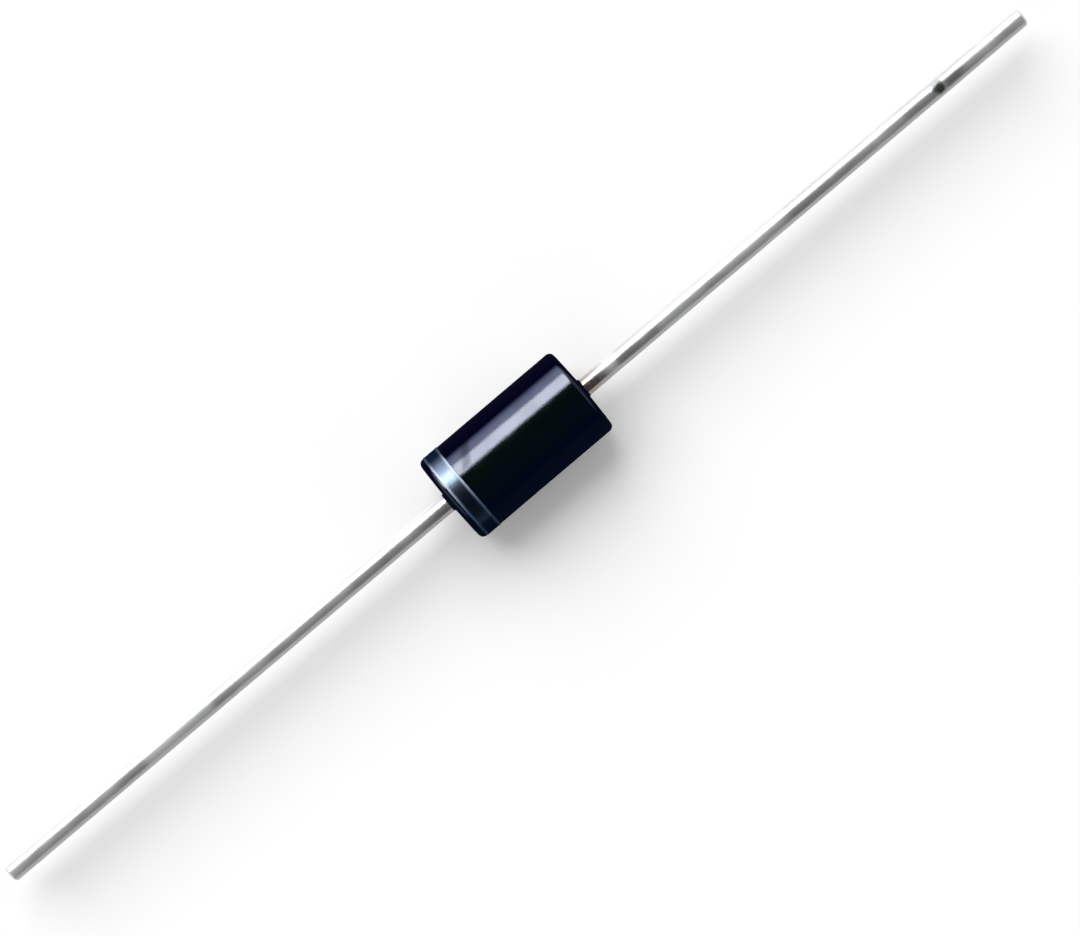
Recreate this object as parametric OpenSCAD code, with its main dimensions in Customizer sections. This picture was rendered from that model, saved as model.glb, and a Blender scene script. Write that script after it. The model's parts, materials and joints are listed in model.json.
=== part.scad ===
// Axial-lead transient voltage suppressor diode.
// The lead axis is X, with the anode lead towards +X and the cathode band at the -X end.
// The origin is the middle of the moulding, on the lead axis. All sizes are in millimetres.

/* [Moulded case] */
// Diameter of the moulding
case_d = 5.1; // [4.8:0.05:5.6]
// Length of the moulding, from one lead exit to the other
case_l = 9; // [7.2:0.1:9.6]
// Radius that rounds the rim of each end
rim_r = 0.3; // [0.2:0.05:0.6]
// Mould draft of each end face, in degrees from square
end_draft = 2.5; // [1:0.5:8]

/* [Cathode band] */
// Width of the printed ring
band_w = 0.92; // [0.6:0.02:1.4]
// Bare strip between the rounded rim and the ring
band_gap = 0.02; // [0.02:0.01:0.5]
// Thickness of the ink, which is also how far its edges slope
band_t = 0.03; // [0.02:0.005:0.06]

/* [Leads] */
// Diameter of the wire
lead_d = 1; // [0.8:0.02:1.3]
// Length of wire outside the moulding, at each end
lead_l = 29.4; // [20:0.1:35]
// Chamfer of the cut tip
tip_chamfer = 0.1; // [0.04:0.02:0.2]
// How much wider the anchored shank is at its nail head than where it leaves the moulding
shank_swell = 0.3; // [0.1:0.05:0.5]

/* [Nail heads] */
// Diameter of the nail head
head_d = 3; // [2.8:0.05:3.2]
// Thickness of the nail head
head_t = 0.5; // [0.4:0.05:0.8]
// Chamfer on both edges of the nail head
head_chamfer = 0.06; // [0.02:0.01:0.1]
// Fillet between the shank and the back of its nail head
neck_fillet = 0.3; // [0.1:0.05:0.4]

/* [Chip] */
// Side of the chip's large face, on the anode
chip_side = 2.5; // [2.2:0.05:2.65]
// Thickness of the chip
chip_t = 0.3; // [0.2:0.02:0.4]
// How far each etched edge slopes in from the large face to the small one
chip_slope = 0.12; // [0.04:0.02:0.2]

/* [Solder] */
// Thickness of each solder layer
solder_t = 0.08; // [0.04:0.01:0.15]
// Bare margin on the chip around the solder
solder_margin = 0.08; // [0.04:0.01:0.15]
// How much further out the solder wets the nail head than the chip
solder_flare = 0.1; // [0.02:0.01:0.12]

/* [Junction coating] */
// Cover over the corners of the chip
coating_cover = 0.22; // [0.1:0.02:0.26]
// Strip of the nail head's rim that the coating leaves bare
coating_setback = 0.16; // [0.12:0.02:0.2]

/* [Hidden] */
$fn = 96;
// Straight steps that stand for a round profile
arc_steps = 10;

case_r = case_d / 2;
lead_r = lead_d / 2;
head_r = head_d / 2;
neck_r = lead_r + shank_swell / 2;

// Stations along the lead axis, on the anode side
chip_face_x = chip_t / 2;
head_face_x = chip_face_x + solder_t;
head_back_x = head_face_x + head_t;
neck_end_x = head_back_x + neck_fillet;
case_end_x = case_l / 2;
tip_x = case_end_x + lead_l;
coating_end_x = head_back_x - coating_setback;

// The end face leans back from the lead exit to the rim, where it runs into the rounding
rim_end_r = case_r - rim_r + rim_r * sin(end_draft);
rim_end_x = case_end_x - (rim_end_r - lead_r) * tan(end_draft);
rim_centre_x = rim_end_x - rim_r * cos(end_draft);

// The ring starts on the straight side of the moulding, beside the rounded rim
band_start_x = -rim_centre_x + band_gap;
band_end_x = band_start_x + band_w;

chip_small_side = chip_side - 2 * chip_slope;
chip_corner_r = chip_side / 2 * sqrt(2);
coating_bulge = chip_corner_r + coating_cover - head_r;

// A profile is a list of [distance from the axis, place along the axis]

function arc(centre, radius, from, to) = [
    for (i = [0 : arc_steps])
        let (a = from + (to - from) * i / arc_steps)
        centre + radius * [cos(a), sin(a)]
];

function reversed(profile) = [
    for (i = [len(profile) - 1 : -1 : 0])
        profile[i]
];

// The same stretch on the cathode side, walked the other way
function mirrored(profile) = [
    for (p = reversed(profile))
        [p[0], -p[1]]
];

// Rounded rim and drafted end face, from the straight side in to the lead exit
function end_profile() = concat(
    arc([case_r - rim_r, rim_centre_x], rim_r, 0, 90 - end_draft),
    [[lead_r, case_end_x]]
);

// Front of a nail head, from its face out to its rim
function head_front_profile() = [
    [head_r - head_chamfer, head_face_x],
    [head_r, head_face_x + head_chamfer]
];

// Back of a nail head, from its rim in to the filleted neck of the shank
function head_back_profile() = concat(
    [
        [head_r, head_back_x - head_chamfer],
        [head_r - head_chamfer, head_back_x]
    ],
    arc([neck_r + neck_fillet, neck_end_x], neck_fillet, 270, 180)
);

// Edge of the solder on a chip face of this side, from the chip out to the nail head
function solder_edge(face_side) = [
    [face_side / 2 - solder_margin, chip_face_x],
    [face_side / 2 - solder_margin + solder_flare, head_face_x]
];

// Bulge of the coating, from the anode's nail head over to the cathode's
function coating_profile() = [
    for (i = [0 : 2 * arc_steps])
        let (a = 90 - 90 * i / arc_steps)
        [head_r + coating_bulge * cos(a), coating_end_x * sin(a)]
];

// Turns a profile about the lead axis
module turned(profile) {
    rotate([0, 90, 0])
        rotate_extrude()
            polygon(profile);
}

// One moulding, formed round the leads' shanks and nail heads and the coating
module moulded_case() {
    anode_half = concat(end_profile(), reversed(head_back_profile()));
    color("#16171d")
        turned(concat(anode_half, coating_profile(), mirrored(anode_half)));
}

// Silver ink, printed round the moulding with sloping edges
module cathode_band() {
    color("#c3c9d2")
        turned([
            [case_r, band_start_x],
            [case_r + band_t, band_start_x + band_t],
            [case_r + band_t, band_end_x - band_t],
            [case_r, band_end_x]
        ]);
}

// Tinned wire with a cold-formed nail head, whose tapered shank anchors it in the moulding
module nail_head_lead() {
    color("#a9aba8")
        turned(concat(
            [[0, head_face_x]],
            head_front_profile(),
            head_back_profile(),
            [
                [lead_r, case_end_x],
                [lead_r, tip_x - tip_chamfer],
                [lead_r - tip_chamfer, tip_x],
                [0, tip_x]
            ]
        ));
}

module anode_lead() {
    nail_head_lead();
}

module cathode_lead() {
    mirror([1, 0, 0])
        nail_head_lead();
}

// Slope of the chip's etched edges on two opposite sides
module chip_slope_pair() {
    linear_extrude(height = chip_side, center = true)
        polygon([
            [chip_face_x, -chip_side / 2],
            [chip_face_x, chip_side / 2],
            [-chip_face_x, chip_small_side / 2],
            [-chip_face_x, -chip_small_side / 2]
        ]);
}

module silicon_chip() {
    color("#4a4d57")
        intersection() {
            chip_slope_pair();
            rotate([90, 0, 0])
                chip_slope_pair();
        }
}

// Solder between the anode's nail head and a chip face of this side
module solder_layer(face_side) {
    color("#8d9095")
        turned(concat(
            [[0, chip_face_x]],
            solder_edge(face_side),
            [[0, head_face_x]]
        ));
}

module anode_solder() {
    solder_layer(chip_side);
}

module cathode_solder() {
    mirror([1, 0, 0])
        solder_layer(chip_small_side);
}

// Silicone rubber that fills the space between the nail heads round the chip
module junction_coating() {
    anode_seat = concat(solder_edge(chip_side), head_front_profile());
    cathode_seat = mirrored(concat(solder_edge(chip_small_side), head_front_profile()));
    color("#d9d6cc")
        difference() {
            turned(concat(coating_profile(), cathode_seat, anode_seat));
            silicon_chip();
        }
}

moulded_case();
cathode_band();
cathode_lead();
anode_lead();
silicon_chip();
cathode_solder();
anode_solder();
junction_coating();
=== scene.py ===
# %% [markdown]
# # A suppressor diode on a white table
# An axial-lead suppressor diode is a black moulded cylinder, a ring of silver ink and two tinned wires.
# The CAD model already has every solid in its place, so it is loaded first and stays the measure of all
# that follows: the lead axis is X, the anode points to +X and the band sits at the -X end.

# %% Load the fixed frame
import json
import math

import bmesh
import bpy
from mathutils import Matrix, Vector


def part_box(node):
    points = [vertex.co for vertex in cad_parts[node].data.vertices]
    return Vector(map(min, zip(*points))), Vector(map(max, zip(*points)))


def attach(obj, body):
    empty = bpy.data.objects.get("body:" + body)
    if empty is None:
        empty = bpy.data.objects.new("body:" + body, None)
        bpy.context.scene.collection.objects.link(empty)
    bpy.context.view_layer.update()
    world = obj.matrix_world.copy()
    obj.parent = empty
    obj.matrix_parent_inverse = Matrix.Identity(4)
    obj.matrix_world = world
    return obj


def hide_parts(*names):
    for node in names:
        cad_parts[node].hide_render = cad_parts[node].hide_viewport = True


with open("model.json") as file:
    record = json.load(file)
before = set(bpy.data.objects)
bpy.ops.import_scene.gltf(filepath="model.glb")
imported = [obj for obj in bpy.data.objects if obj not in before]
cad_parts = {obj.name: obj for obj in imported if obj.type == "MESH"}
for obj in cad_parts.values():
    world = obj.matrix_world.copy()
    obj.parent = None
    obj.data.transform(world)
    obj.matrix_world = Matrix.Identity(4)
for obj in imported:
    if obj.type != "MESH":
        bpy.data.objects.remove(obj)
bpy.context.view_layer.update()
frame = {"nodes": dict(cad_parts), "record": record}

# %% [markdown]
# Every size that the CAD model can tell is read from it, so a change there reaches this scene by itself.
# Boxes give the lengths and the outer radii, and the record of the wire as a plug-in pin gives its
# radius. Blender works in metres and a diode is small, so sizes that are typed here are millimetres
# times MM.

# %% Read the sizes
MM = 0.001

_, case_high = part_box("moulded_case")
band_low, band_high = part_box("cathode_band")
lead_low, lead_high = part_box("anode_lead")
_, coating_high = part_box("junction_coating")
anode_pin = next(m for m in frame["record"]["mounts"] if m["name"] == "anode_lead")

case_r = case_high.z
case_end = case_high.x
lead_r = anode_pin["dims"]["r_mm"] * MM
lead_tip = lead_high.x
head_r = lead_high.z
head_face = lead_low.x
print(f"moulding {2 * case_end / MM:.2f} mm long and {2 * case_r / MM:.2f} mm across")
print(f"wire {2 * lead_r / MM:.2f} mm thick, its tip {lead_tip / MM:.2f} mm from the middle")

# %% [markdown]
# ## The camera
# The photograph looks down on the diode, with its wires running from lower left to upper right. A camera
# could be nudged by eye, but the two lead tips are sharp points with a known distance between them, so
# their pixels alone give the height, the turn and the place of the camera. How far it leans shows in the
# light: the streak on the moulding lies a little further from the wire's shadow than it would from
# straight above.

# %% Place the camera
IMAGE_W, IMAGE_H = 1080, 936
CATHODE_TIP_PX = Vector((10.9, 873.7))
ANODE_TIP_PX = Vector((1021.7, 16.6))
LENS_MM = 100
LEAN = math.radians(7)
NEAREST_SHARE = 0.01

span_px = ANODE_TIP_PX - CATHODE_TIP_PX
px_per_metre = span_px.length / (2 * lead_tip)
turn = math.atan2(-span_px.y, span_px.x)
aim = Matrix.Rotation(LEAN, 3, "X") @ Matrix.Rotation(-turn, 3, "Z")
middle_px = (CATHODE_TIP_PX + ANODE_TIP_PX) / 2
off_centre = (middle_px - Vector((IMAGE_W, IMAGE_H)) / 2) / px_per_metre

lens = bpy.data.cameras.new("camera")
lens.lens = LENS_MM
camera = bpy.data.objects.new("camera", lens)
bpy.context.scene.collection.objects.link(camera)
camera_height = LENS_MM / lens.sensor_width * IMAGE_W / px_per_metre
camera.location = aim @ Vector((-off_centre.x, off_centre.y, camera_height))
camera.rotation_euler = aim.to_euler()
lens.clip_start = NEAREST_SHARE * camera_height
bpy.context.scene.camera = camera
bpy.context.scene.view_settings.view_transform = "Standard"
print(f"camera {camera_height / MM:.1f} mm from the lead axis, turned {math.degrees(turn):.2f} degrees")

# %% [markdown]
# ## Sums with sockets
# Finishes and turned shapes are both built from nodes, and most of those nodes are plain arithmetic.
# Wiring them by hand hides the formula, so one small class wraps a socket: adding or multiplying two of
# them adds the Math node that does it, and `1 - mask` reads as it would on paper.

# %% Wrap a socket
class Feed:
    """An output socket. Sums on it add Math nodes to its tree; without a socket it is the bare tree."""

    def __init__(self, tree, socket=None):
        self.tree = tree
        self.socket = socket

    def node(self, kind, settings=None, sockets=None, output=0):
        """Adds a node: its settings first, then a value or a link for each named or numbered socket."""
        made = self.tree.nodes.new(kind)
        for name, value in (settings or {}).items():
            setattr(made, name, value)
        for name, value in (sockets or {}).items():
            if isinstance(value, Feed):
                self.tree.links.new(value.socket, made.inputs[name])
            else:
                made.inputs[name].default_value = value
        return Feed(self.tree, made.outputs[output] if made.outputs else None)

    def sum(self, operation, *terms):
        """One Math node, with these values or links as its terms."""
        return self.node("ShaderNodeMath", {"operation": operation}, dict(enumerate(terms)))

    def __add__(self, other):
        return self.sum("ADD", self, other)

    def __radd__(self, other):
        return self.sum("ADD", other, self)

    def __sub__(self, other):
        return self.sum("SUBTRACT", self, other)

    def __rsub__(self, other):
        return self.sum("SUBTRACT", other, self)

    def __mul__(self, other):
        return self.sum("MULTIPLY", self, other)

    def __rmul__(self, other):
        return self.sum("MULTIPLY", other, self)

    def __truediv__(self, other):
        return self.sum("DIVIDE", self, other)

    def __rtruediv__(self, other):
        return self.sum("DIVIDE", other, self)

    def __abs__(self):
        return self.sum("ABSOLUTE", self)

    def step(self, low, high):
        """0 below low, 1 above high and a smooth slope between; reversed if low is above high."""
        settings = {"interpolation_type": "SMOOTHSTEP"}
        if low < high:
            return self.node("ShaderNodeMapRange", settings, {0: self, 1: low, 2: high})
        return self.node("ShaderNodeMapRange", settings, {0: self, 1: high, 2: low, 3: 1.0, 4: 0.0})


print("sums on", Feed.__name__, "objects become Math nodes")

# %% [markdown]
# ## Table and light
# The real diode lies on white paper, which takes its shadow as any matt surface does. Paper that is
# white by itself would throw so much light upwards that the dark side of the diode turned grey. So the
# paper is a pale warm grey, and a glow that only cameras and mirrors see lifts it to white and pales the
# shadow.

# %% Lay the paper
PAPER_TONE = (0.576, 0.569, 0.557, 1)
PAPER_GLOW = (0.17, 0.17, 0.17, 1)
NO_GLOW = (0, 0, 0, 1)
PAPER_SIDE = 8.0


def blend(amount, first, second):
    """A colour between two colours, mixed by an amount from 0 to 1."""
    return amount.node("ShaderNodeMix", {"data_type": "RGBA"}, {0: amount, 6: first, 7: second}, output=2)


def bare_finish(name):
    """A new material with an empty node tree."""
    finish = bpy.data.materials.new(name)
    finish.use_nodes = True
    finish.node_tree.nodes.clear()
    return finish, Feed(finish.node_tree)


def surface(sheet, sockets):
    """One Principled shader, with these values or links in its sockets."""
    return sheet.node("ShaderNodeBsdfPrincipled", {}, sockets)


def show(sheet, shader):
    """Ends a finish with the shader that it shows."""
    sheet.node("ShaderNodeOutputMaterial", {}, {"Surface": shader})


def white_paper():
    finish, sheet = bare_finish("white_paper")
    seen = 0
    for kind in ("Camera", "Glossy", "Transmission"):
        seen = seen + sheet.node("ShaderNodeLightPath", output=f"Is {kind} Ray")
    show(sheet, surface(sheet, {
        "Base Color": PAPER_TONE,
        "Roughness": 1.0,
        "Specular IOR Level": 0.0,
        "Emission Color": blend(seen, NO_GLOW, PAPER_GLOW),
        "Emission Strength": 1.0,
    }))
    return finish


half = PAPER_SIDE / 2
corners = [(-half, -half), (half, -half), (half, half), (-half, half)]
paper_mesh = bpy.data.meshes.new("paper")
paper_mesh.from_pydata([(x, y, -band_high.z) for x, y in corners], [], [(0, 1, 2, 3)])
paper_mesh.materials.append(white_paper())
paper = bpy.data.objects.new("paper", paper_mesh)
bpy.context.scene.collection.objects.link(paper)
print(f"paper {band_high.z / MM:.2f} mm below the lead axis, under the band")

# %% [markdown]
# The light comes from the +Y side of the diode, across its axis, which is why a long streak lies along
# the moulding and the shadows fall the other way. In the streak one part is bright and the part above it
# is dim and bluish, so the diode has two suns: a small strong disc and a wide cool one. A sun lights the
# whole table evenly, which an area lamp at this distance would not.
#
# The shadow is softer than those two would throw it. So they pass over the paper, and a third sun lights
# only the paper. Blender calls this light linking: each lamp has a collection that holds the paper,
# either as the one thing that the lamp lights or as the one that it leaves out.

# %% Set up the lamps
def sun(name, tilt, spread, level, tint, paper_only=False):
    """A disc of light `spread` degrees wide, tilted from overhead, that lights a flat sheet to `level`."""
    lamp = bpy.data.lights.new(name, "SUN")
    lamp.angle = math.radians(spread)
    lamp.color = tint
    lamp.energy = level * math.pi / math.cos(math.radians(tilt))
    made = bpy.data.objects.new(name, lamp)
    made.rotation_euler = (math.radians(-tilt), 0, 0)
    made.visible_camera = False
    bpy.context.scene.collection.objects.link(made)
    linking = bpy.data.collections.new(name + "_linking")
    linking.objects.link(paper)
    linking.collection_objects[0].light_linking.link_state = "INCLUDE" if paper_only else "EXCLUDE"
    made.light_linking.receiver_collection = linking
    lit = "the paper" if paper_only else "the diode"
    print(f"{name} on {lit}: {tilt} degrees from overhead, {spread} wide, level {level}")


sun("key_lamp", tilt=37.5, spread=29, level=0.37, tint=(1, 1, 1))
sun("wide_lamp", tilt=53.5, spread=61, level=0.37, tint=(0.84, 0.87, 1))
sun("shadow_lamp", tilt=42, spread=57, level=1.03, tint=(0.935, 0.945, 0.975), paper_only=True)

# %% [markdown]
# A black moulding shows whatever stands round it. The ceiling over the table is nearly black and the
# walls are dim, so the world is a gradient from the horizon up. White boards stand at both ends of the
# diode: they fill its shadow and its wires, and a round side seen from above can't mirror them.

# %% Fill the room
HORIZON = (0.20, 0.22, 0.26, 1)
CEILING = (0.008, 0.014, 0.020, 1)
BOARDS = (0.92, 0.93, 0.94, 1)
HORIZON_FADE = (0.0, 0.06)
BOARD_FADE = (0.30, 0.45)


def split(place):
    """The three coordinates of a place."""
    axes = place.node("ShaderNodeSeparateXYZ", {}, {0: place}).socket.node.outputs
    return [Feed(place.tree, axis) for axis in axes]


room = bpy.data.worlds.new("room")
room.use_nodes = True
room.node_tree.nodes.clear()
sheet = Feed(room.node_tree)
endways, _, upwards = split(sheet.node("ShaderNodeTexCoord", output="Generated"))
walls = blend(upwards.step(*HORIZON_FADE), HORIZON, CEILING)
around = blend(abs(endways).step(*BOARD_FADE), walls, BOARDS)
background = sheet.node("ShaderNodeBackground", {}, {"Color": around})
sheet.node("ShaderNodeOutputWorld", {}, {"Surface": background})
bpy.context.scene.world = room
print("room: dim walls, dark overhead, white boards at both ends")

# %% [markdown]
# ## Turning on the lead axis
# Moulding, wires and ink are all round about one axis, so each is an outline that is turned, as on a
# lathe. Blender's Screw modifier or a Spin could do it, but a Geometry Nodes tree keeps the rule in view
# and can add what no lathe gives: the fine ridge where the two halves of the mould met, and a surface
# that is not quite true. What differs from piece to piece goes in through named inputs.

# %% Name the tree's inputs
TURNING_INPUTS = {
    "Outline": "NodeSocketGeometry",
    "Sides": "NodeSocketInt",
    "Closed": "NodeSocketInt",
    "Crowding": "NodeSocketFloat",
    "Ridge Height": "NodeSocketFloat",
    "Ridge Width": "NodeSocketFloat",
    "Wobble": "NodeSocketFloat",
    "Wobble Length": "NodeSocketFloat",
    "Raggedness": "NodeSocketFloat",
    "Finish": "NodeSocketMaterial",
}

turning = bpy.data.node_groups.new("turn_on_lead_axis", "GeometryNodeTree")
for name, kind in TURNING_INPUTS.items():
    turning.interface.new_socket(name, in_out="INPUT", socket_type=kind)
turning.interface.new_socket("Piece", in_out="OUTPUT", socket_type="NodeSocketGeometry")
print("turning tree takes", ", ".join(TURNING_INPUTS))

# %% [markdown]
# The tree bends a grid round the axis: each row takes its place and radius from one outline point, and
# each column is one step of the turn. Then it moves the points a little further, by the height of the
# ridge and by noise, and closes the seam.

# %% Build the turning tree
WELD = 0.0005 * MM
TRUE_CORE = (0.2 * MM, 0.4 * MM)


def build_turning():
    sheet = Feed(turning)
    inputs = turning.nodes.new("NodeGroupInput")
    size = {name: Feed(turning, inputs.outputs[name]) for name in TURNING_INPUTS}

    # Rows are outline points, one more where the outline closes, and columns are steps of the turn
    points = sheet.node("GeometryNodeAttributeDomainSize", {"component": "MESH"}, {
        "Geometry": size["Outline"],
    })
    rows = points + size["Closed"]
    grid = sheet.node("GeometryNodeMeshGrid", {}, {
        "Size X": 1.0, "Size Y": 1.0, "Vertices X": size["Sides"] + 1, "Vertices Y": rows,
    })
    place = sheet.node("GeometryNodeInputPosition")
    grid_x, grid_y, _ = split(place)
    counted = (grid_y + 0.5) * (rows - 1)
    number = counted.sum("ROUND", counted)
    number = number.sum("FLOORED_MODULO", number, points)
    outline = sheet.node("GeometryNodeSampleIndex", {"data_type": "FLOAT_VECTOR", "domain": "POINT"}, {
        "Geometry": size["Outline"], "Value": place, "Index": number,
    })
    along, _, reach = split(outline)

    # Columns crowd together at the parting plane, which cuts the piece at 0 and at 180 degrees
    even = (grid_x + 0.5) * math.tau
    angle = even - size["Crowding"] * 0.5 * even.sum("SINE", even * 2)
    across = angle.sum("COSINE", angle)
    upward = angle.sum("SINE", angle)

    # The ridge is a smooth bump that is one ridge width wide on each side of the plane
    far = abs(upward * reach) / size["Ridge Width"]
    ridge = size["Ridge Height"] * (1 - far.step(0.0, 1.0))

    # Slow noise swells and thins the piece, but not close to the axis, where the cut tips are flat
    spot = sheet.node("ShaderNodeCombineXYZ", {}, {0: along, 1: across * reach, 2: upward * reach})
    spot = spot.node("ShaderNodeVectorMath", {"operation": "SCALE"}, {0: spot, 3: 1 / size["Wobble Length"]})
    swell = spot.node("ShaderNodeTexNoise", {}, {"Vector": spot, "Scale": 1.0, "Detail": 1.0}) - 0.5
    reach = reach + (ridge + size["Wobble"] * swell) * reach.step(*TRUE_CORE)

    # Noise three times as fine shifts points along the axis, which makes an edge ragged
    shake = spot.node("ShaderNodeTexNoise", {}, {"Vector": spot, "Scale": 3.0, "Detail": 3.0}) - 0.5
    turned = sheet.node("ShaderNodeCombineXYZ", {}, {
        0: along + size["Raggedness"] * shake, 1: across * reach, 2: upward * reach,
    })
    bent = sheet.node("GeometryNodeSetPosition", {}, {"Geometry": grid, "Position": turned})
    welded = sheet.node("GeometryNodeMergeByDistance", {}, {"Geometry": bent, "Distance": WELD})
    smooth = sheet.node("GeometryNodeSetShadeSmooth", {}, {"Geometry": welded})
    real = sheet.node("GeometryNodeRealizeInstances", {}, {"Geometry": smooth})
    painted = sheet.node("GeometryNodeSetMaterial", {}, {"Geometry": real, "Material": size["Finish"]})
    sheet.node("NodeGroupOutput", {}, {"Piece": painted})


build_turning()
print("turning tree:", len(turning.nodes), "nodes")

# %% [markdown]
# The outline goes in as loose points, and what the tree makes of them is baked to a plain mesh, so that
# no modifier is left when the piece is tied to the frame. Edges that turn by more than a set angle stay
# crisp.

# %% Bake a turned piece
CRISP = math.radians(28)


def turned_piece(name, outline, finish, closed=True, **sizes):
    """Turns an outline of (along, radius) points into a mesh object, through the turning tree."""
    points = bpy.data.meshes.new(name + "_outline")
    points.from_pydata([(along, 0, reach) for along, reach in outline], [], [])
    lathe = bpy.data.objects.new(name + "_lathe", points)
    bpy.context.scene.collection.objects.link(lathe)
    modifier = lathe.modifiers.new("turning", "NODES")
    modifier.node_group = turning
    values = {"Closed": int(closed), "Finish": finish, "Ridge Width": 1.0, "Wobble Length": 1.0, **sizes}
    for item in turning.interface.items_tree:
        if item.in_out == "INPUT" and item.name in values:
            modifier[item.identifier] = values[item.name]

    ready = lathe.evaluated_get(bpy.context.evaluated_depsgraph_get())
    mesh = bpy.data.meshes.new_from_object(ready)
    bpy.data.objects.remove(lathe)
    shell = bmesh.new()
    shell.from_mesh(mesh)
    bmesh.ops.recalc_face_normals(shell, faces=shell.faces)
    open_edges = sum(not edge.is_manifold for edge in shell.edges)
    volume = shell.calc_volume()
    shell.to_mesh(mesh)
    shell.free()
    mesh.set_sharp_from_angle(angle=CRISP)
    piece = bpy.data.objects.new(name, mesh)
    bpy.context.scene.collection.objects.link(piece)
    print(f"{name}: {len(mesh.polygons)} faces, {open_edges} open edges, {volume / MM ** 3:.2f} cubic mm")
    return piece


def fit(piece, node):
    """Ties a finished piece to the frame, in place of the CAD node that it dresses."""
    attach(piece, "root")
    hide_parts(node)


print("crisp edges above", round(math.degrees(CRISP)), "degrees")

# %% [markdown]
# ## Patterns in millimetres
# Grain, wear and tarnish are noise that is laid over a piece by its own coordinates, so it stays in
# place when the piece moves. The coordinates become millimetres first, and the size of each pattern can
# then be read off the line that makes it. An image could carry such marks too, but it would have to be
# drawn, and it blurs when someone looks closely.

# %% Prepare the patterns
def place_in_mm(sheet):
    """Object coordinates in millimetres."""
    place = sheet.node("ShaderNodeTexCoord", output="Object")
    return place.node("ShaderNodeVectorMath", {"operation": "SCALE"}, {0: place, 3: 1 / MM})


def noise(place, size, detail=2.0, stretch=(1, 1, 1)):
    """Cloudy noise from 0 to 1, in spots about `size` millimetres wide, longer where stretch is over 1."""
    squeeze = [1 / (size * s) for s in stretch]
    spot = place.node("ShaderNodeVectorMath", {"operation": "MULTIPLY"}, {0: place, 1: squeeze})
    return place.node("ShaderNodeTexNoise", {}, {"Vector": spot, "Scale": 1.0, "Detail": detail})


def bump(height, distance):
    """A normal tilted by a height field, `distance` millimetres deep."""
    return height.node("ShaderNodeBump", {}, {"Height": height, "Distance": distance * MM, "Strength": 1.0})


def facing(sheet):
    """0 where a surface faces the eye and 1 where it is seen edge-on."""
    return sheet.node("ShaderNodeLayerWeight", {}, {"Blend": 0.5}, output="Facing")


def matt(sheet, colour, roughness):
    """A shader without any shine."""
    return surface(sheet, {"Base Color": colour, "Roughness": roughness, "Specular IOR Level": 0.0})


def mix(amount, first, second):
    """A shader between two shaders, mixed by an amount from 0 to 1."""
    return amount.node("ShaderNodeMixShader", {}, {0: amount, 1: first, 2: second})


print(f"patterns are scaled by {1 / MM:.0f}, from metres to millimetres")

# %% [markdown]
# ## The black moulding
# The case is epoxy that was pressed hot into a steel mould, round the wires and the chip. Handling has
# taken some of its gloss: a scuff slants across the top beside the ring, both rims are rubbed, and faint
# clouds lie all over. Such places could be painted by hand, but a band, two ends and a noise are short
# sums on the coordinates.

# %% Mark the dull places
# The scuff, along, across and above the axis, and the dull rims, inwards from the ends; in millimetres
SCUFF_PLACE = (-2.3, 0.95)
SCUFF_SLOPE = 0.66
SCUFF_HALF_WIDTH = (0.40, 0.08)
SCUFF_OVER = (0.3, 0.6)
SCUFF_HEIGHT = (0.5, 1.0)
RIM_START, RIM_FULL = 0.42, 0.28


def dull_places(place, cloud):
    """Where the skin has lost its gloss: a slanting scuff on top, faint clouds all over, and both rims."""
    along, over, height = split(place)
    across = along - SCUFF_PLACE[0] - SCUFF_SLOPE * (over - SCUFF_PLACE[1])
    scuff = abs(across + 0.4 * (cloud - 0.5)).step(*SCUFF_HALF_WIDTH)
    scuff = scuff * over.step(*SCUFF_OVER) * height.step(*SCUFF_HEIGHT)
    faint = noise(place, 1.3, detail=4.0, stretch=(1.5, 1, 1)).step(0.4, 0.7)
    rim = abs(along).step(case_end / MM - RIM_START, case_end / MM - RIM_FULL)
    return 0.42 * scuff + 0.16 * faint + 0.5 * rim


scuffed = f"{SCUFF_PLACE[0]} mm along and {SCUFF_PLACE[1]} mm across"
print(f"dull places: a scuff {scuffed}, rims from {RIM_START} mm inside each end")

# %% [markdown]
# The skin of the resin is a satin gloss: the mould was polished once and has worn to a fine grain, and
# mineral filler lies just under the surface. One dark grey would do from far away, but this resin is
# green-black on top and painted navy towards the -Y side, away from the lamps, as painted shade; and
# it doesn't shine alike everywhere.
#
# So three shaders are mixed by how steeply a spot is seen: a clear gloss where it faces the eye, a
# violet bloom at a slant and matt resin at a grazing angle. Bloom and matt come sooner on the -Y side,
# away from the lamps, which darkens that side as painted shade, and its matt tone is painted shade too.

# %% Mix the epoxy
GREEN_BLACK = [(0.0001, 0.0024, 0.0005, 1), (0.0004, 0.0032, 0.0018, 1)]
# Painted shade: the -Y side of the resin, away from the lamps, is tinted navy
NAVY_PAINTED_SHADE = (0.0002, 0.0028, 0.0080, 1)
FILLER = (0.03, 0.03, 0.04, 1)
# Lit and shaded copies of the matt resin: the second, for the -Y side, is painted shade
MATT_LIT = [(0.0001, 0.0002, 0.0048, 1), (0.0003, 0.0005, 0.0074, 1)]
MATT_PAINTED_SHADE = [(0.0001, 0.0025, 0.0105, 1), (0.0003, 0.0034, 0.0140, 1)]
GLOSS = {"IOR": 1.73, "Specular Tint": (0.79, 0.85, 1.0, 1)}
BLOOM = {"IOR": 1.94, "Specular Tint": (0.58, 0.63, 1.0, 1)}

# Where one look fades into the next, across the axis in millimetres
NAVY_SHADE_FADE = (0.0, -1.4)
MATT_SHADE_FADE = (0.6, -0.6)
# Where the -Y side starts to go matt sooner, as painted shade
SHADE_SIDE_FADE = (1.2, -1.2)

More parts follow.
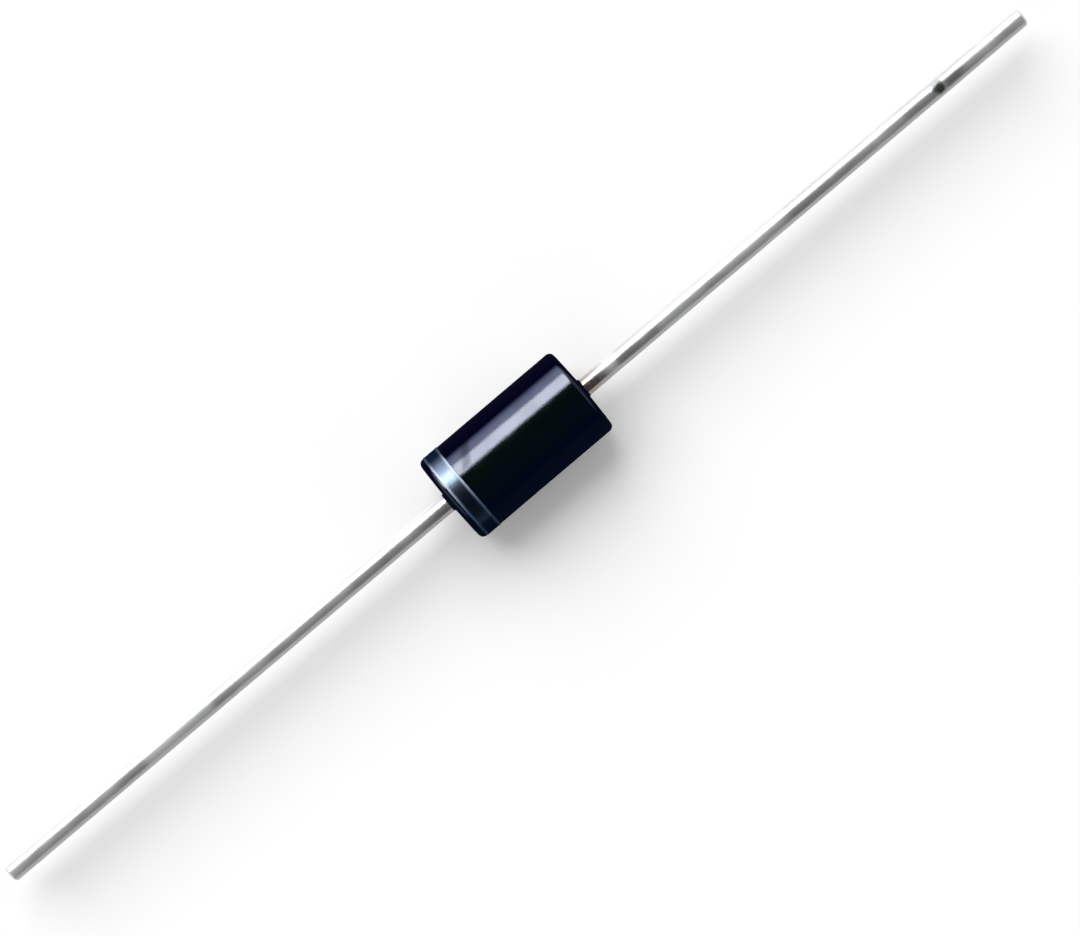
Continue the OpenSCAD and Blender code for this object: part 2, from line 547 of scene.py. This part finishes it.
# The same by the angle of view, from 0 face-on to 1 edge-on, and how much sooner on the -Y side, as painted
# shade
BLOOM_SLANT = (0.10, 0.24)
MATT_SLANT = (0.17, 0.33)
MATT_MOST = 0.985
SHADE_SIDE_SOONER = 0.11


def slanting(sheet, over, low, high):
    """0 where a surface faces the eye and 1 at a slant; sooner towards -Y, away from the lamps, as painted
    shade.
    """
    return (facing(sheet) + SHADE_SIDE_SOONER * over.step(*SHADE_SIDE_FADE)).step(low, high)


def black_epoxy():
    finish, sheet = bare_finish("black_epoxy")
    place = place_in_mm(sheet)
    _, over, _ = split(place)
    cloud = noise(place, 1.6, detail=3.0)
    grain = noise(place, 0.05)
    filler = noise(place, 0.11, detail=1.0).step(0.66, 0.76)
    handled = noise(place, 0.8, detail=4.0, stretch=(2.5, 1, 1)).step(0.35, 0.75)
    # Painted shade: the resin turns navy towards the -Y side, away from the lamps
    resin = blend(0.6 * over.step(*NAVY_SHADE_FADE), blend(cloud, *GREEN_BLACK), NAVY_PAINTED_SHADE)
    skin = {
        "Base Color": blend(filler * 0.15, resin, FILLER),
        "Roughness": 0.09 + 0.06 * handled + 0.03 * grain,
        "Normal": bump(grain + 1.5 * cloud, 0.003),
    }
    gloss = surface(sheet, {**skin, **GLOSS})
    bloom = surface(sheet, {**skin, **BLOOM})
    lustre = mix(slanting(sheet, over, *BLOOM_SLANT), gloss, bloom)
    # Painted shade: the -Y side gets its own darker matt tone
    matt_lit_and_shade = blend(over.step(*MATT_SHADE_FADE), blend(cloud, *MATT_LIT), blend(cloud, *MATT_PAINTED_SHADE))
    dull = dull_places(place, cloud)
    # Matt comes in at a slant, sooner on the -Y side as painted shade
    dull = dull + slanting(sheet, over, *MATT_SLANT) * (MATT_MOST - dull)
    show(sheet, mix(dull, lustre, matt(sheet, matt_lit_and_shade, 0.8)))
    return finish


epoxy = black_epoxy()
print("black epoxy:", len(epoxy.node_tree.nodes), "nodes")

# %% [markdown]
# The outline of the moulding runs along its straight side, round the rim, down the drafted end face and
# over a thin creep of resin onto the wire. Inside it follows the wire's shank, the nail head and the
# rubber that covers the chip, because the resin was pressed round all of them.

# %% Draw the moulding's outline
RIM_R = 0.3 * MM
END_DRAFT = math.radians(2.5)
CREEP = 0.09 * MM
HEAD_T = 0.5 * MM
HEAD_CHAMFER = 0.06 * MM
NECK_FILLET = 0.3 * MM
SHANK_SWELL = 0.15 * MM
SIDE_STEPS = 36
RIM_STEPS = 20
FACE_STEPS = 8
CREEP_STEPS = 8
HOLLOW_STEPS = 20

neck_r = lead_r + SHANK_SWELL
head_back = head_face + HEAD_T
neck_end = head_back + NECK_FILLET
rim_end_r = case_r - RIM_R + RIM_R * math.sin(END_DRAFT)
rim_centre = case_end - (rim_end_r - lead_r) * math.tan(END_DRAFT) - RIM_R * math.cos(END_DRAFT)


def arc(centre, radius, start, stop, steps=12):
    """Points (along, radius) on an arc; 0 degrees points away from the axis and 90 towards the anode."""
    angles = [math.radians(start + (stop - start) * i / steps) for i in range(steps + 1)]
    return [(centre[0] + radius * math.sin(a), centre[1] + radius * math.cos(a)) for a in angles]


def straight(first, last, steps):
    """Points on a straight line, without its two ends."""
    shares = [i / steps for i in range(1, steps)]
    return [tuple(a + (b - a) * s for a, b in zip(first, last)) for s in shares]


def mirrored(points):
    """The same stretch on the cathode side, walked the other way."""
    return [(-along, reach) for along, reach in reversed(points)]


def head_back_points():
    """From the rim of a nail head in to the filleted neck of its shank."""
    edge = [(head_back - HEAD_CHAMFER, head_r), (head_back, head_r - HEAD_CHAMFER)]
    return edge + arc((neck_end, neck_r + NECK_FILLET), NECK_FILLET, 270, 180)


def hollow_points():
    """The bulge of the rubber, from the anode's nail head over to the cathode's."""
    angles = [math.pi * i / HOLLOW_STEPS for i in range(HOLLOW_STEPS + 1)]
    bulge = coating_high.z - head_r
    return [(coating_high.x * math.cos(a), head_r + bulge * math.sin(a)) for a in angles]


def moulding_outline():
    rim = arc((rim_centre, case_r - RIM_R), RIM_R, 0, 90 - math.degrees(END_DRAFT), RIM_STEPS)
    face_foot = case_end - CREEP * math.tan(END_DRAFT)
    face = straight(rim[-1], (face_foot, lead_r + CREEP), FACE_STEPS)
    creep = arc((face_foot + CREEP, lead_r + CREEP), CREEP, 270, 180, CREEP_STEPS)
    anode_half = rim + face + creep + list(reversed(head_back_points()))
    side = straight((-rim_centre, case_r), (rim_centre, case_r), SIDE_STEPS)
    return side + anode_half + hollow_points() + mirrored(anode_half)


print(f"moulding outline: {len(moulding_outline())} points")
print(f"each rim starts {rim_centre / MM:.3f} mm from the middle")

# %% [markdown]
# Two steel halves closed on the wires, so a hair-thin ridge of resin runs along both sides of the case,
# where the halves met. Columns crowd together there, so the ridge is real geometry without a heavy mesh
# elsewhere.

# %% Mould the case
CASE_SIDES = 288

case = turned_piece(
    "case", moulding_outline(), epoxy,
    **{"Sides": CASE_SIDES, "Crowding": 0.9, "Ridge Height": 0.012 * MM, "Ridge Width": 0.05 * MM,
       "Wobble": 0.008 * MM, "Wobble Length": 2.2 * MM},
)
fit(case, "moulded_case")

# %% [markdown]
# ## The silver ring
# The ring is silver ink: tiny metal flakes in clear binder. Flat colour would look like a sticker, so
# the flakes mirror the lamp, and the binder that gathers along both edges is paler and duller. Towards
# the -Y side, away from the lamps, the ink and its edges are painted dark, as painted shade. At a
# grazing angle the flakes hide behind each other, and only the matt binder is left.

# %% Mix the ink
FLAKE_TONES = [(0.108, 0.140, 0.185, 1), (0.154, 0.193, 0.246, 1)]
# Painted shade: the dark tone of the ink towards -Y, away from the lamps
INK_PAINTED_SHADE = (0.001, 0.014, 0.040, 1)
# Lit and shaded copies of the edge tone: pale on +Y, painted shade on -Y
EDGE_LIT_AND_SHADE_TONES = [(0.36, 0.40, 0.46, 1), (0.06, 0.115, 0.205, 1)]
BINDER_TONES = [(0.002, 0.006, 0.017, 1), (0.026, 0.043, 0.076, 1)]
FLAKE_TINT = (0.22, 0.26, 0.34, 1)
INK_SHADE_FADE = (0.5, -0.9)
EDGE_SHADE_FADE = (0.3, -1.5)
EDGE_START, EDGE_FULL = 0.19, 0.06
BINDER_SLANT = (0.24, 0.51)
BINDER_MOST = 0.97


def silver_ink():
    finish, sheet = bare_finish("silver_ink")
    place = place_in_mm(sheet)
    along, over, _ = split(place)
    middle = (band_low.x + band_high.x) / 2 / MM
    half_width = (band_high.x - band_low.x) / 2 / MM
    edge = abs(along - middle).step(half_width - EDGE_START, half_width - EDGE_FULL)
    flake = noise(place, 0.035, detail=1.0)
    thin = noise(place, 0.45, detail=3.0, stretch=(2, 1, 1))
    # Painted shade: the ink darkens towards -Y, with noise
    ink_shade = over.step(*INK_SHADE_FADE) * (0.62 + 0.3 * thin)
    middle_tone = blend(ink_shade, blend(thin, *FLAKE_TONES), INK_PAINTED_SHADE)
    # Painted shade on the edges towards -Y
    edge_lit_and_shade = blend(over.step(*EDGE_SHADE_FADE), *EDGE_LIT_AND_SHADE_TONES)
    flakes = surface(sheet, {
        "Base Color": blend(edge, middle_tone, edge_lit_and_shade),
        "Metallic": 0.97 - 0.45 * edge,
        "Roughness": 0.25 + 0.10 * flake + 0.12 * edge,
        "Specular Tint": FLAKE_TINT,
        "Normal": bump(flake + 1.2 * thin, 0.003),
    })
    binder = matt(sheet, blend(edge, *BINDER_TONES), 0.7)
    show(sheet, mix(BINDER_MOST * slanting(sheet, over, *BINDER_SLANT), flakes, binder))
    return finish


ink = silver_ink()
print("silver ink:", len(ink.node_tree.nodes), "nodes")

# %% [markdown]
# A wheel rolls the ring onto the moulding and squeezes the ink out to both sides, so the film is thicker
# along its edges than between them, and the edges are a little ragged. A painted stripe in the case's
# own finish would show none of that, so the ink is turned from a section of its own, sunk slightly into
# the resin.

# %% Print the ring
INK_SUNK = 0.006 * MM
INK_BEAD = 0.13 * MM
INK_MIDDLE = 0.6
INK_STEPS = 40


def ink_outline():
    """Section of the ink: flat underneath and sunk a little, with a rounded bead along both edges."""
    thick = band_high.z - case_r
    width = band_high.x - band_low.x
    top = []
    for i in range(INK_STEPS + 1):
        share = 0.5 - 0.5 * math.cos(math.pi * i / INK_STEPS)
        inward = min(share, 1 - share) * width
        rise = math.sqrt(max(0.0, 1 - (1 - min(1.0, inward / (0.5 * INK_BEAD))) ** 2))
        sag = min(1.0, max(0.0, inward / INK_BEAD - 0.5))
        level = rise * (1 - (1 - INK_MIDDLE) * sag * sag * (3 - 2 * sag))
        top.append((band_low.x + share * width, case_r + thick * level))
    under = [(band_high.x, case_r - INK_SUNK), (band_low.x, case_r - INK_SUNK)]
    return top + under


ring = turned_piece(
    "ring", ink_outline(), ink,
    **{"Sides": CASE_SIDES, "Wobble": 0.004 * MM, "Wobble Length": 0.7 * MM, "Raggedness": 0.05 * MM},
)
fit(ring, "cathode_band")

# %% [markdown]
# ## The tinned wires
# Each lead is copper wire with a head pressed on its inner end, dipped in tin. The tin has aged
# unevenly: some stretches are tarnished and some still bright, and a drop of dark glue is left where a
# tape once held it. Noise alone would spread such marks evenly, so those that show are placed one by one.

# %% Mark the tarnish and the glue
# Places along the wires, in millimetres from the middle, and the glue on the anode wire
TARNISHED = [(-11.0, -8.6), (5.2, 5.9), (6.9, 9.4), (18.4, 23.8), (26.0, 31.0)]
BRIGHT = [(-24.8, -20.2), (6.1, 6.8)]
STRETCH_FADE = 0.25
GLUE_DROP = {"from_tip": 5.7, "aside": -0.12, "half_size": (0.42, 0.38, 0.4)}
GLUE_SMEAR = {"from_tip": 4.9, "aside": -0.08, "half_size": (0.95, 0.40, 0.4)}


def lump(place, from_tip, aside, half_size):
    """1 inside a soft lump on top of the anode wire, 0 outside it."""
    centre = (lead_tip / MM - from_tip, aside, lead_r / MM)
    shares = [1 / s for s in half_size]
    from_centre = place.node("ShaderNodeVectorMath", {"operation": "SUBTRACT"}, {0: place, 1: centre})
    scaled = place.node("ShaderNodeVectorMath", {"operation": "MULTIPLY"}, {0: from_centre, 1: shares})
    apart = place.node("ShaderNodeVectorMath", {"operation": "LENGTH"}, {0: scaled}, output="Value")
    return (apart + 0.7 * (noise(place, 0.3, detail=3.0) - 0.5)).step(1.25, 0.45)


def between(along, start, stop):
    """1 between two places along a wire, with soft ends."""
    begun = along.step(start - STRETCH_FADE, start + STRETCH_FADE)
    return begun * along.step(stop + STRETCH_FADE, stop - STRETCH_FADE)


def tarnish_along(along, patches):
    """About 0 on bright tin and 1 on tarnished tin: patches all over, and stretches that are listed."""
    wander = along + 0.8 * (patches - 0.5)
    tarnish = 0.15 + 0.75 * patches.step(0.3, 0.7)
    for start, stop in TARNISHED:
        tarnish = tarnish + 0.4 * between(wander, start, stop)
    for start, stop in BRIGHT:
        tarnish = tarnish - 0.9 * between(wander, start, stop)
    return tarnish


print(f"marks: {len(TARNISHED)} tarnished stretches, {len(BRIGHT)} bright ones and a drop of glue")

# %% [markdown]
# The tin is dull grey rather than bright, drawing the wire has left lines along it, and heat has browned
# it where it leaves the resin. A single metal shader would do if both flanks were alike. But the -Y one,
# away from the lamps, is painted darker as painted shade, and a painted pale sheen lies on the +Y one,
# less of it on the anode wire. The sheen shows only at a slant, so it is a matt shader that is mixed in
# by the angle of view.

# %% Mix the tin
TIN_TONES = [(0.67, 0.67, 0.655, 1), (0.575, 0.57, 0.55, 1)]
# The flank tone is painted shade for the -Y flank, away from the lamps
FLANK_PAINTED_SHADE = (0.30, 0.295, 0.28, 1)
SCORCH_TONE = (0.40, 0.31, 0.26, 1)
GLUE_TONE = (0.030, 0.032, 0.025, 1)
# Painted sheen: a pale tone that whitens the lit +Y flank
PAINTED_SHEEN_TONE = (0.90, 0.90, 0.89, 1)

# The brown fades out between these distances from the resin, in millimetres
SCORCH_END = (1.6, 0.4)

# Where the painted shade and the painted sheen begin on the flanks, across and above the axis in
# millimetres, and where the sheen shows, from 0 face-on to 1 edge-on
SHADE_FLANK = (-0.24, -0.46)
SHEEN_FLANK = (0.28, 0.40)
SHEEN_HEIGHT = (-0.25, -0.10)
SHEEN_SLANT = (0.22, 0.55)


def dull_tin():
    finish, sheet = bare_finish("dull_tin")
    place = place_in_mm(sheet)
    along, over, height = split(place)
    lines = noise(place, 0.07, stretch=(40, 1, 1))
    patches = noise(place, 1.1, detail=4.0, stretch=(2, 1, 1))
    speck = noise(place, 0.06)
    anode_side = along.step(-0.1, 0.1)

    tarnish = tarnish_along(along, patches)
    outside = abs(along) - case_end / MM + 0.6 * (patches - 0.5)
    scorch = outside.step(*SCORCH_END) * (0.25 + 0.65 * anode_side)
    glue = lump(place, **GLUE_DROP)
    smear = lump(place, **GLUE_SMEAR)
    tone = blend(tarnish, *TIN_TONES)
    # Painted shade: the -Y flank, away from the lamps, is darker
    tone = blend(0.5 * over.step(*SHADE_FLANK), tone, FLANK_PAINTED_SHADE)
    tone = blend(scorch, tone, SCORCH_TONE)
    tone = blend(0.92 * glue + 0.35 * smear, tone, GLUE_TONE)
    metal = surface(sheet, {
        "Base Color": tone,
        "Metallic": 0.67 + 0.16 * tarnish + 0.1 * scorch - 0.4 * glue,
        "Roughness": 0.36 - 0.05 * tarnish + 0.06 * speck - 0.12 * scorch + 0.2 * glue,
        "Normal": bump(lines + 0.5 * speck + 4.0 * glue, 0.007),
    })

    # Painted sheen on the lit +Y flank, seen at a slant, less on the anode wire
    sheen_flank = over.step(*SHEEN_FLANK) * height.step(*SHEEN_HEIGHT) * (1 - glue)
    painted_sheen = facing(sheet).step(*SHEEN_SLANT) * sheen_flank * (0.62 - 0.30 * anode_side)
    show(sheet, mix(painted_sheen, metal, matt(sheet, PAINTED_SHEEN_TONE, 0.9)))
    return finish


tin = dull_tin()
print("dull tin:", len(tin.node_tree.nodes), "nodes")

# %% [markdown]
# A wire could be a plain tube, but the tin on it is never even, so its outline has many points along the
# bare length and the turning tree swells and thins it between them by a few thousandths of a millimetre.

# %% Draw the wires
TIP_CHAMFER = 0.1 * MM
WIRE_STEPS = 150


def wire_outline():
    """From the middle of the nail head's face, over the head and along the wire, to the tip's middle."""
    front = [(head_face, 0), (head_face, head_r - HEAD_CHAMFER), (head_face + HEAD_CHAMFER, head_r)]
    shoulder = (lead_tip - TIP_CHAMFER, lead_r)
    bare = [(case_end, lead_r)] + straight((case_end, lead_r), shoulder, WIRE_STEPS) + [shoulder]
    tip = [(lead_tip, lead_r - TIP_CHAMFER), (lead_tip, 0)]
    return front + head_back_points() + bare + tip


wire_sizes = {"Sides": 64, "Wobble": 0.012 * MM, "Wobble Length": 1.4 * MM}
anode_wire = turned_piece("anode_wire", wire_outline(), tin, closed=False, **wire_sizes)
cathode_wire = turned_piece("cathode_wire", mirrored(wire_outline()), tin, closed=False, **wire_sizes)
fit(anode_wire, "anode_lead")
fit(cathode_wire, "cathode_lead")

# %% [markdown]
# ## What the resin hides
# Inside lie the chip, a layer of solder on each face of it and the rubber round its edge. They never
# show, so the CAD solids stay as they are and only get the finish of what they are made of.

# %% Dress the inner pieces
SILICON_TONES = [(0.14, 0.15, 0.18, 1), (0.24, 0.25, 0.30, 1)]
SOLDER_TONES = [(0.40, 0.41, 0.43, 1), (0.58, 0.59, 0.60, 1)]
RUBBER_TONES = [(0.72, 0.70, 0.64, 1), (0.84, 0.82, 0.77, 1)]


def hidden_finish(name, tones, size, metallic, roughness):
    """A finish of two shades in cloudy patches about `size` millimetres wide."""
    finish, sheet = bare_finish(name)
    patches = noise(place_in_mm(sheet), size, detail=3.0)
    show(sheet, surface(sheet, {
        "Base Color": blend(patches, *tones),
        "Metallic": metallic,
        "Roughness": roughness + 0.1 * patches,
    }))
    return finish


silicon = hidden_finish("etched_silicon", SILICON_TONES, size=0.3, metallic=0.6, roughness=0.25)
solder = hidden_finish("solder", SOLDER_TONES, size=0.2, metallic=1.0, roughness=0.35)
rubber = hidden_finish("silicone_rubber", RUBBER_TONES, size=0.5, metallic=0.0, roughness=0.5)

for node, finish, slot in [
    ("silicon_chip", silicon, "chip_silicon"),
    ("cathode_solder", solder, "joint_solder"),
    ("anode_solder", solder, "joint_solder"),
    ("junction_coating", rubber, "coating_silicone"),
]:
    solid = frame["nodes"][node]
    solid.data.materials.clear()
    solid.data.materials.append(finish)
    print(f"{node} wears {finish.name}")
